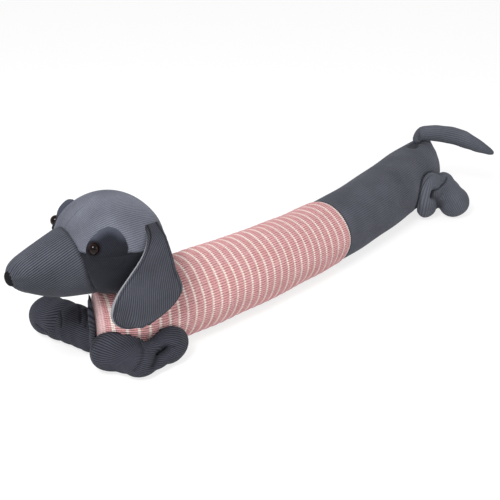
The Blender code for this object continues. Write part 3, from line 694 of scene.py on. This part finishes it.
def fuseRounds(name, rounds):
    # one skin over some rounds of filling
    pieces = []
    for place, halfSizes in rounds:
        _, tailward, _ = trunkLine(place[0])
        deselectAll()
        bpy.ops.mesh.primitive_uv_sphere_add(segments=48, ring_count=28, radius=1.0, location=besideTrunk(place)[0],
                                             rotation=(0, 0, math.atan2(tailward[1], tailward[0])))
        bpy.context.object.scale = halfSizes
        bpy.ops.object.transform_apply(location=True, rotation=True, scale=True)
        pieces.append(bpy.context.object)
    for piece in pieces:
        piece.select_set(True)
    bpy.ops.object.join()
    piece = bpy.context.object
    piece.name = name
    piece.data.name = name
    finishModifier(piece, "REMESH", mode="VOXEL", voxel_size=leg["voxel"])
    finishModifier(piece, "SMOOTH", factor=0.5, iterations=leg["smoothing"])
    return piece


def puffUp(piece, pressure, cap):
    # cloth simulation: the filling presses the cover out, and no point moves further than the cap
    before = meshPoints(piece.data)
    cloth = piece.modifiers.new("cloth", "CLOTH")
    settings = cloth.settings
    settings.quality = 5
    settings.mass = 0.3
    settings.tension_stiffness = 12
    settings.bending_stiffness = 0.4
    settings.use_pressure = True
    settings.uniform_pressure_force = pressure
    settings.shrink_min = leg["shrink"]
    settings.effector_weights.gravity = 0.0
    scene = bpy.context.scene
    for number in range(1, leg["frames"] + 1):
        scene.frame_set(number)
    graph = bpy.context.evaluated_depsgraph_get()
    after = meshPoints(piece.evaluated_get(graph).data)
    piece.modifiers.remove(cloth)
    scene.frame_set(1)
    move = after - before
    length = np.linalg.norm(move, axis=1, keepdims=True)
    move = move * np.minimum(1.0, cap / np.maximum(length, 1e-9))
    print(piece.name, "moved up to", round(float(np.linalg.norm(move, axis=1).max()), 4))
    points = before + move
    points[:, 2] = np.maximum(points[:, 2], 0.0002)
    piece.data.vertices.foreach_set("co", points.ravel())
    piece.data.update()


def panelOf(points, values):
    # the panel of the round that is nearest for its size
    nearest = np.full(len(points), 1e9)
    panel = np.zeros(len(points), int)
    for place, halfSizes, number in values["rounds"]:
        away = trunkParts(points - besideTrunk(place)[0], place[0]) / np.asarray(halfSizes)
        distance = np.linalg.norm(away, axis=1)
        panel = np.where(distance < nearest, number, panel)
        nearest = np.minimum(distance, nearest)
    return panel


def trunkParts(vectors, along):
    # world vectors as parts along, to the left of and above the trunk
    _, tailward, leftward = trunkLine(along)
    return np.stack((vectors @ tailward, vectors @ leftward, vectors @ upward), axis=-1)


def turnAndReach(points, panelValues):
    # turn round a panel's direction of wales, and distance along it
    middle, axis, facing, _ = panelValues
    away = trunkParts(points - besideTrunk(middle)[0], middle[0])
    axis = unit(np.asarray(axis))
    facing = np.asarray(facing) - axis * np.dot(facing, axis)
    facing = unit(facing)
    return np.arctan2(away @ np.cross(axis, facing), away @ facing), away @ axis


def buildLeg(name, values, node, cloth, neighbours, seed):
    piece = fuseRounds(name, [entry[:2] for entry in values["rounds"]])
    puffUp(piece, leg["pressure"], leg["cap"])
    finishModifier(piece, "SUBSURF", levels=2, render_levels=2)
    mesh = piece.data
    points = meshPoints(mesh)
    points[:, 2] = np.maximum(points[:, 2], 0.0002)
    # stitched grooves pull the cloth in first
    skin = BVHTree.FromPolygons([v.co for v in mesh.vertices], [p.vertices for p in mesh.polygons])
    grooveShade = np.zeros(len(points))
    move = np.zeros(len(points))
    for depth, width, darkness, line in values["grooves"]:
        line = [np.array(skin.find_nearest(Vector(spot))[0]) for spot in besideTrunk(line)]
        away = distanceFromLine(points, line)
        move -= depth * bell(away, width)
        # painted shade: each groove colours the cloth darker along its line
        grooveShade = np.maximum(grooveShade, darkness * bell(away, 0.8 * width))
    points = points + meshNormals(mesh) * move[:, None]
    mesh.vertices.foreach_set("co", points.ravel())
    mesh.update()
    # wales on each panel of cloth
    corners = np.empty(len(mesh.loops), np.int32)
    mesh.loops.foreach_get("vertex_index", corners)
    corners = corners.reshape(-1, 4)
    middles = points[corners].mean(axis=1)
    pointPanel, facePanel = panelOf(points, values), panelOf(middles, values)
    across = np.zeros(len(points))
    pairs = np.zeros((len(corners), 4, 2), np.float32)
    for number, panelValues in enumerate(values["panels"]):
        girth = panelValues[3] * corduroy["pitch"] / (2 * math.pi)
        turn, reach = turnAndReach(points, panelValues)
        across = np.where(pointPanel == number, turn * girth, across)
        start = turnAndReach(middles, panelValues)[0][:, None]
        turns = start + np.mod(turn[corners] - start + math.pi, 2 * math.pi) - math.pi
        mine = facePanel == number
        pairs[mine, :, 0] = (turns * girth)[mine]
        pairs[mine, :, 1] = reach[corners][mine]
    points, shade = dressCorduroy(points, meshNormals(mesh), across, neighbours, None, seed, 0.035, 0.0005)
    mesh.vertices.foreach_set("co", points.ravel())
    mesh.uv_layers.new(name="cloth").data.foreach_set("uv", pairs.ravel())
    shade = np.clip(np.maximum(shade, grooveShade), 0, 1).astype(np.float32)
    mesh.attributes.new("crease", "FLOAT", "POINT").data.foreach_set("value", shade)
    mesh.materials.clear()
    mesh.materials.append(cloth)
    mesh.shade_smooth()
    mesh.update()
    declare(piece, node)


# Tail: flat strip that starts in the ridge of the rump
tail = {
    "length": 0.124, "halfWidth": 0.0148, "halfThickness": 0.0100, "rootShare": 0.72,
    "fromRear": 0.050, "sink": 0.0011, "buried": 0.014, "turn": math.radians(68.0), "droop": 0.027,
    "rows": 120, "wales": 25, "seamTurn": 196.0, "startShare": 0.60,
}


def buildTail(cloth):
    point, tailward, leftward = trunkLine(trunk["length"] - tail["fromRear"])
    reach = tailward * math.cos(tail["turn"]) + leftward * math.sin(tail["turn"])
    top = 2 * trunk["rumpRadius"] - trunk["bellyFlat"]
    root = point + upward * (top + tail["halfWidth"] - tail["sink"])
    route = (root - tailward * tail["buried"] - upward * 1.8 * tail["halfWidth"], root,
             root + reach * 0.5 * tail["length"] - upward * 0.08 * tail["droop"],
             root + reach * tail["length"] - upward * tail["droop"])
    share = 1 - (1 - np.linspace(0, 1, tail["rows"])) ** 1.5
    centres = curveThrough(route, share)
    across = unit(np.cross(np.gradient(centres, axis=0), upward))
    size = tail["rootShare"] + (1 - tail["rootShare"]) * ease(share * 1.4)
    size = size * (tail["startShare"] + (1 - tail["startShare"]) * ease(share / 0.33))
    size = size * np.sqrt(np.maximum(1.0 - np.maximum(share - 0.74, 0.0) / 0.26, 0.004)) ** 0.92
    columns = tail["wales"] * corduroy["samples"]
    angles = np.linspace(0, 2 * math.pi, columns + 1)
    ring = angles[:-1]
    grid = (centres[:, None] + across[:, None] * (tail["halfThickness"] * size)[:, None, None] * np.cos(ring)[None, :, None]
            + upward * (tail["halfWidth"] * size)[:, None, None] * np.sin(ring)[None, :, None])
    cloths = np.tile(angles / (2 * math.pi) * tail["wales"] * corduroy["pitch"], (len(share), 1))
    girth = 0.5 * (tail["halfThickness"] + tail["halfWidth"]) * size
    seamTurn = math.radians(tail["seamTurn"])
    gap = np.abs(np.mod(ring - seamTurn + math.pi, 2 * math.pi) - math.pi)
    grid, shade = dressCorduroy(grid, gridNormals(grid), cloths[:, :-1], ("rump",), girth[:, None] * gap[None, :], 51,
                                0.03, 0.0005, 0.7 * (size[:, None] > 0.3))
    lengthwise = np.tile(share[:, None] * tail["length"], (1, columns + 1))
    makePiece("tailStrip", grid, cloths, lengthwise, [cloth], shade, "tail")


# Ears: two layers of cloth sewn round, hanging from the crown
ear = {
    "length": 0.120, "width": 0.102, "rootWidth": 0.020, "halfThickness": 0.0036,
    "rootBack": 0.029, "middleBack": 0.005, "rootIn": 0.017, "rootDown": 0.0275, "clearance": 0.003,
    "cadHalfThickness": 0.0045, "rows": 130, "columns": 440, "edgeTurn": 0.22,
    "backHollow": 0.36, "hollowAt": 0.24, "backBulge": 0.05, "bulgeAt": 0.48, "fan": 6.0,
}


def buildEar(side, name, node, cloth, paleEdge):
    hang = head["halfWidth"] + ear["cadHalfThickness"] + ear["clearance"]
    rootUp = head["halfHeight"] - ear["rootDown"]
    spine = np.array((
        (-ear["rootBack"], head["halfWidth"] - ear["rootIn"], rootUp),
        (-ear["rootBack"] * 0.85, hang * 0.96, rootUp - 0.14 * ear["length"]),
        (-ear["middleBack"], hang * 1.03, rootUp - 0.45 * ear["length"]),
        (-ear["middleBack"], hang * 0.97, rootUp - 0.75 * ear["length"]),
        (-ear["middleBack"], hang * 0.88, rootUp - ear["length"])))
    share = 1 - (1 - np.linspace(0, 1, ear["rows"])) ** 1.4
    centres = curveThrough(spine, share)
    spread = ear["rootWidth"] + (ear["width"] - ear["rootWidth"]) * ease(share * 1.30) ** 1.15
    endRound = np.sqrt(np.maximum(1 - np.maximum(share - 0.64, 0) ** 2 / 0.1308, 0.0008))
    halfWidth = (0.5 * spread * endRound)[:, None]
    thickness = ear["halfThickness"] * np.maximum(endRound, 0.3) * (0.75 + 0.4 * ease(share))
    down = unit(np.gradient(centres, axis=0))
    flatOut = unit(np.stack((np.zeros(len(share)), -down[:, 2], down[:, 1]), axis=-1))
    angles = np.linspace(-math.pi, math.pi, ear["columns"] + 1)
    ring = angles[:-1]
    wide = np.sign(np.cos(ring)) * np.abs(np.cos(ring)) ** 0.9
    thick = np.sign(np.sin(ring)) * np.abs(np.sin(ring)) ** 0.7
    back = ear["backBulge"] * bell(share - ear["bulgeAt"], 0.15) - ear["backHollow"] * bell(share - ear["hollowAt"], 0.12)
    x = centres[:, 0:1] + halfWidth * wide * np.where(wide < 0, 1 + back[:, None], 1.0)
    y = centres[:, 1:2] + (thickness * flatOut[:, 1])[:, None] * thick
    z = centres[:, 2:3] + (thickness * flatOut[:, 2])[:, None] * thick
    # soft folds that fan out from the root, and an edge that curls in a little
    fold = x / np.maximum(halfWidth, 0.004)
    y = y + 0.0016 * np.sin(2.6 * fold + 0.8) * ease(share / 0.35)[:, None]
    y = y - 0.0030 * bell(fold - 0.55, 0.16) * ease((share[:, None] - 0.50) / 0.3)
    grid = headPoint(x, y * side, z)
    fan = 1 + ear["fan"] * (rootUp - z)
    across = x / fan * 1.66
    across = np.concatenate((across, across[:, :1]), axis=1) + 0.5 * corduroy["pitch"]
    along = np.tile(share[:, None] * ear["length"], (1, ear["columns"] + 1))
    fromEdge = np.minimum(halfWidth * (1 - np.abs(wide)), 0.9 * ear["length"] * (1 - share[:, None]))
    # a stitched line inside the edge: a shallow dent that is coloured darker as painted shade
    rim = 0.55 * bell(fromEdge - 0.0042, 0.0010)
    grid, shade = dressCorduroy(grid, gridNormals(grid), across[:, :-1], ("head_crown",), None, 61, 0.05, 0.0005, 0.9, 0.4)
    grid = grid - gridNormals(grid) * (0.0006 * rim)[..., None]
    # painted shade: the stitched line, and the upper part of the ear, are coloured darker
    shade = np.maximum(0.5 * shade, rim) + 0.55 * bell(share[:, None] - 0.08, 0.22)
    edge = ear["edgeTurn"] * (0.55 + 0.8 * ease(share[:-1, None]))
    front = (np.abs(ring)[None, :] < edge) & (share[:-1, None] > 0.05) & (share[:-1, None] < 0.93)
    makePiece(name, grid, across, along, [cloth, paleEdge], shade, node,
              front.astype(np.int32))


# Cheeks: the side panels rise over the crown in an arch above each eye
cheek = {
    "forward": 0.026, "in": 0.0195, "up": 0.019, "halfLength": 0.026, "halfHeight": 0.025,
    "halfThickness": 0.0135, "rows": 64, "columns": 240,
    "frontLength": 0.0285, "backLength": 0.0178, "archHeight": 0.0236, "archBack": 0.0027, "gable": 0.26,
    "archLift": 0.0058, "lowLift": 0.0009, "foldAt": -0.0098, "foldDepth": 0.0016, "socketReach": 0.0095,
    "socketDepth": 0.0016,
}
eye = {"radius": 0.0067, "sink": 0.0047, "ahead": 0.0164, "up": 0.0041}


def cheekDirections(side):
    _, tailward, leftward = trunkLine(0.0)
    ahead = -tailward
    outward = unit(leftward * side + ahead * 0.45 + upward * 0.25)
    along = unit(ahead - outward * np.dot(ahead, outward))
    return along, np.cross(along, outward) * side, outward


def cheekCentre(side):
    return headPoint(cheek["forward"], (head["halfWidth"] - cheek["in"]) * side, cheek["up"])


def eyeCentre(side):
    along, above, outward = cheekDirections(side)
    inside = 1 - (eye["ahead"] / cheek["halfLength"]) ** 2 - (eye["up"] / cheek["halfHeight"]) ** 2
    rise = cheek["halfThickness"] * math.sqrt(inside) - eye["sink"]
    return cheekCentre(side) + along * eye["ahead"] + above * eye["up"] + outward * rise


def onHead(points, direction):
    # moves points along a direction until they lie on the plain crown
    halves = np.array((head["halfLength"], head["halfWidth"], head["halfHeight"]))
    start = np.stack(headPlace(points), axis=-1) / halves
    _, tailward, leftward = trunkLine(0.0)
    step = np.array((-np.dot(direction, tailward), np.dot(direction, leftward), direction[2])) / halves
    a = np.dot(step, step)
    b = start @ step
    c = np.sum(start * start, axis=-1) - 1
    reach = (-b + np.sqrt(np.maximum(b * b - a * c, 0))) / a
    found = points + reach[..., None] * direction
    inHead = np.stack(headPlace(found), axis=-1) / halves ** 2
    normal = unit(-inHead[..., :1] * tailward + inHead[..., 1:2] * leftward + inHead[..., 2:3] * upward)
    return found, normal


def buildCheek(side, name, node, cloth):
    along, above, outward = cheekDirections(side)
    # from the middle of the face to its edge, then back under it
    face = np.concatenate((np.linspace(0.02, 1.0, cheek["rows"]), [1.0, 0.985, 0.9, 0.6, 0.2]))
    under = np.concatenate((np.zeros(cheek["rows"]), [0.0016, 0.0030, 0.0036, 0.0040, 0.0040]))
    angles = np.linspace(-math.pi, math.pi, cheek["columns"] + 1)
    b = np.sin(angles[:-1]) * np.where(angles[:-1] > 0, cheek["archHeight"], cheek["halfHeight"])
    gable = 1 - cheek["gable"] * np.clip(b / cheek["archHeight"], 0, 1) ** 2.2
    ahead = np.cos(angles[:-1])
    a = ahead * np.where(ahead > 0, cheek["frontLength"] * gable, cheek["backLength"]) - cheek["archBack"]
    a, b = face[:, None] * a, face[:, None] * b
    flat = cheekCentre(side) + along * a[..., None] + above * b[..., None]
    grid, normal = onHead(flat, outward)
    upper = ease((b - cheek["foldAt"]) / 0.010)
    rounded = np.sqrt(np.clip((1 - face) / 0.18, 0, 1))[:, None]
    lift = cheek["lowLift"] + (cheek["archLift"] - cheek["lowLift"]) * upper
    fromEye = np.hypot(a - eye["ahead"], b - eye["up"])
    socket = bell(fromEye, cheek["socketReach"])
    lift = lift * (1 - 0.7 * socket) - cheek["socketDepth"] * bell(fromEye, 0.8 * cheek["socketReach"])
    fold = bell(b - cheek["foldAt"] - 0.10 * a, 0.0018) * (face < 1)[:, None]
    lift = lift * rounded - cheek["foldDepth"] * fold * rounded - under[:, None] - 0.0004 * (1 - rounded)
    grid = grid + normal * lift[..., None]
    across = panelAcross(grid)
    across = np.concatenate((across, across[:, :1]), axis=1)
    lengthwise = np.concatenate((b, b[:, :1]), axis=1)
    fade = (face < 1)[:, None] * 1.0
    grid, shade = dressCorduroy(grid, gridNormals(grid), across[:, :-1], ("muzzle",), None, 71, 0.03, 0.0003, 0.8 * fade)
    # painted shade: darker in the fold under the arch and in a ring round the eye
    shade = np.maximum(shade, 0.7 * fold)
    shade = np.maximum(shade, 0.8 * bell(fromEye - eye["radius"], 0.0022))
    # painted highlight: rim marks the top of the arch, lit from above, for the lighter rim colour
    rim = 0.75 * ease((face[:, None] - 0.50) / 0.48) * ease((b - 0.001) / 0.014)
    makePiece(name, grid, across, lengthwise, [cloth], shade, node, None, rim)


# Eyes: glossy beads
def beadMaterial():
    material, tree, shader = newMaterial("eyeBead")
    facing = addNode(tree, "ShaderNodeLayerWeight", {"Blend": 0.35}).outputs["Facing"]
    colour = mixColour(tree, facing, (0.003, 0.0015, 0.0015, 1), (0.030, 0.009, 0.006, 1))
    tree.links.new(colour, shader.inputs["Base Color"])
    shader.inputs["Roughness"].default_value = 0.04
    shader.inputs["IOR"].default_value = 1.42
    shader.inputs["Specular IOR Level"].default_value = 0.28
    return material


def buildEye(side, name, node, bead):
    deselectAll()
    bpy.ops.mesh.primitive_uv_sphere_add(segments=64, ring_count=40, radius=eye["radius"], location=eyeCentre(side))
    piece = bpy.context.object
    piece.name = name
    piece.data.name = name
    bpy.ops.object.transform_apply(location=True, rotation=True, scale=True)
    bpy.ops.object.shade_smooth()
    piece.data.materials.append(bead)
    declare(piece, node)


# Nose: black stitched patch over the muzzle's tip
nose = {"radius": 0.0090, "halfDepth": 0.0054, "sink": 0.0042, "rows": 48, "columns": 120, "threadPitch": 0.0011}


def noseMaterial():
    material, tree, shader = newMaterial("nosePatch")
    cloth = addNode(tree, "ShaderNodeUVMap", uv_map="cloth")
    parts = addNode(tree, "ShaderNodeSeparateXYZ", {0: cloth.outputs[0]})
    turn = maths(tree, "MULTIPLY", parts.outputs[0], math.pi / nose["threadPitch"])
    thread = maths(tree, "ABSOLUTE", maths(tree, "SINE", turn))
    colour = mixColour(tree, thread, (0.003, 0.003, 0.004, 1), (0.014, 0.014, 0.017, 1))
    tree.links.new(colour, shader.inputs["Base Color"])
    bump = addNode(tree, "ShaderNodeBump", {"Height": thread, "Strength": 0.6, "Distance": 0.0004})
    tree.links.new(bump.outputs[0], shader.inputs["Normal"])
    shader.inputs["Roughness"].default_value = 0.65
    shader.inputs["Specular IOR Level"].default_value = 0.08
    return material


def buildNose():
    middle = muzzleBase() + muzzle["length"] - nose["sink"]
    turn = np.linspace(0.03, math.pi - 0.03, nose["rows"])[:, None]
    angles = np.linspace(-math.pi, math.pi, nose["columns"] + 1)
    ahead = middle + nose["halfDepth"] * np.cos(turn) * np.ones((1, nose["columns"]))
    out = nose["radius"] * np.sin(turn) * np.sin(angles[:-1])
    height = -muzzle["tipDroop"] - 0.0012 + nose["radius"] * np.sin(turn) * np.cos(angles[:-1])
    grid = headPoint(ahead, out, height)
    across = np.concatenate((out, out[:, :1]), axis=1)
    along = np.concatenate((height, height[:, :1]), axis=1)
    threads = np.abs(np.sin(math.pi * out / nose["threadPitch"]))
    grid = grid + gridNormals(grid) * (0.00025 * threads)[..., None]
    makePiece("nosePatch", grid, across, along, [noseMaterial()], np.zeros(grid.shape[:2]), "nose")


def paleMaterial():
    material, tree, shader = newMaterial("paleEdge")
    place = addNode(tree, "ShaderNodeTexCoord").outputs["Object"]
    fibre = noise(tree, place, 900.0, 3.0)
    colour = mixColour(tree, fibre, (0.15, 0.155, 0.175, 1), (0.36, 0.36, 0.38, 1))
    tree.links.new(colour, shader.inputs["Base Color"])
    bump = addNode(tree, "ShaderNodeBump", {"Height": fibre, "Strength": 0.5, "Distance": 0.0003})
    tree.links.new(bump.outputs[0], shader.inputs["Normal"])
    shader.inputs["Roughness"].default_value = 0.95
    return material


# Floor, lamps and camera
studio = {
    "camera": (-0.54237, -0.77984, 0.65424), "target": (0.28254, 0.00725, 0.048), "lens": 64.8,
    "floorSize": 9.0, "floorTone": 0.30, "floorGlow": 0.76, "bounceTone": 0.80, "skyStrength": 0.55,
}


def buildFloor():
    deselectAll()
    bpy.ops.mesh.primitive_plane_add(size=studio["floorSize"], location=(0, 0, 0))
    floor = bpy.context.object
    floor.name = "studioFloor"
    material, tree, shader = newMaterial("studioFloor")
    # for the camera and in reflections the floor is nearly white, and still takes the dog's shadow
    rays = addNode(tree, "ShaderNodeLightPath")
    seen = maths(tree, "MAXIMUM", rays.outputs["Is Camera Ray"], rays.outputs["Is Glossy Ray"])
    seen = maths(tree, "MAXIMUM", seen, rays.outputs["Is Transmission Ray"])
    bounce, tone = studio["bounceTone"], studio["floorTone"]
    colour = mixColour(tree, seen, (bounce, bounce, bounce, 1), (tone, tone, tone, 1))
    tree.links.new(colour, shader.inputs["Base Color"])
    shader.inputs["Emission Color"].default_value = (1, 1, 1, 1)
    tree.links.new(maths(tree, "MULTIPLY", seen, studio["floorGlow"]), shader.inputs["Emission Strength"])
    shader.inputs["Roughness"].default_value = 0.9
    shader.inputs["Specular IOR Level"].default_value = 0.1
    floor.data.materials.append(material)


def addLamp(name, place, target, size, power, colour=(1, 1, 1)):
    data = bpy.data.lights.new(name, "AREA")
    data.shape = "RECTANGLE"
    data.size, data.size_y = size
    data.energy = power
    data.color = colour
    lamp = bpy.data.objects.new(name, data)
    lamp.location = place
    lamp.rotation_euler = (Vector(target) - Vector(place)).to_track_quat("-Z", "Y").to_euler()
    bpy.context.scene.collection.objects.link(lamp)


def buildStudio():
    scene = bpy.context.scene
    scene.view_settings.view_transform = "Standard"
    data = bpy.data.cameras.new("camera")
    data.lens = studio["lens"]
    data.sensor_width = 36.0
    camera = bpy.data.objects.new("camera", data)
    place = Vector(studio["camera"]) + Vector(trunkStart)
    target = Vector(studio["target"]) + Vector(trunkStart)
    camera.location = place
    camera.rotation_euler = (target - place).to_track_quat("-Z", "Y").to_euler()
    scene.collection.objects.link(camera)
    scene.camera = camera
    addLamp("keyLamp", (-1.25, -0.45, 1.55), (-0.1, 0, 0.05), (0.6, 0.6), 28.0)
    addLamp("fillLamp", (0.4, -1.9, 1.0), (0, 0, 0.05), (1.2, 0.9), 7.0)
    world = bpy.data.worlds.new("studioWorld")
    world.use_nodes = True
    tree = world.node_tree
    background = tree.nodes["Background"]
    seen = addNode(tree, "ShaderNodeLightPath").outputs["Is Camera Ray"]
    share = maths(tree, "MULTIPLY", seen, 1.0 - studio["skyStrength"])
    strength = maths(tree, "ADD", share, studio["skyStrength"])
    tree.links.new(strength, background.inputs["Strength"])
    background.inputs["Color"].default_value = (1, 1, 1, 1)
    scene.world = world


# Dark cloth of the head's side panels, darkened further as painted shade for the shadow they lie in: tops of the wales,
# and the grooves between them
darkShadedPanel = ((0.017, 0.0185, 0.026, 1), (0.002, 0.0022, 0.0033, 1))
# painted highlight on the top of the cheek's arch
cheekRimHighlight = (0.074, 0.082, 0.112, 1)
slateRump = corduroyMaterial("slateRump", (0.082, 0.086, 0.106, 1), (0.048, 0.050, 0.062, 1))
slateHind = corduroyMaterial("slateHind", (0.104, 0.109, 0.134, 1), (0.050, 0.053, 0.066, 1))
slateCrown = corduroyMaterial("slateCrown", (0.155, 0.163, 0.200, 1), (0.068, 0.072, 0.090, 1), 0.15, darkShadedPanel)
slateMuzzle = corduroyMaterial("slateMuzzle", (0.091, 0.096, 0.120, 1), (0.007, 0.0075, 0.010, 1))
slateCheek = corduroyMaterial("slateCheek", *darkShadedPanel, 0.08, None, cheekRimHighlight)
slateEar = corduroyMaterial("slateEar", (0.088, 0.092, 0.116, 1), (0.010, 0.0105, 0.015, 1))
slateFront = corduroyMaterial("slateFront", (0.057, 0.059, 0.078, 1), (0.002, 0.0021, 0.003, 1), 0.08)
pale = paleMaterial()
bead = beadMaterial()

buildJersey()
print("jersey done")
buildRump(slateRump)
print("rump done")
buildCrown(slateCrown)
buildMuzzle(slateMuzzle)
print("head done")
buildLeg("frontLegLeft", frontLeft, "front_leg_left", slateFront, ("jersey_body",), 41)
buildLeg("frontLegRight", frontRight, "front_leg_right", slateFront, ("jersey_body",), 42)
buildLeg("hindLegLeft", hindLeft, "hind_leg_left", slateHind, ("rump",), 43)
buildLeg("hindLegRight", hindRight, "hind_leg_right", slateHind, ("rump",), 44)
buildTail(slateHind)
print("legs and tail done")
for side, word in ((1.0, "Left"), (-1.0, "Right")):
    buildEar(side, "ear" + word, "ear_" + word.lower(), slateEar, pale)
    buildCheek(side, "cheek" + word, "cheek_" + word.lower(), slateCheek)
    buildEye(side, "eye" + word, "eye_" + word.lower(), bead)
buildNose()
print("face done")
buildFloor()
buildStudio()
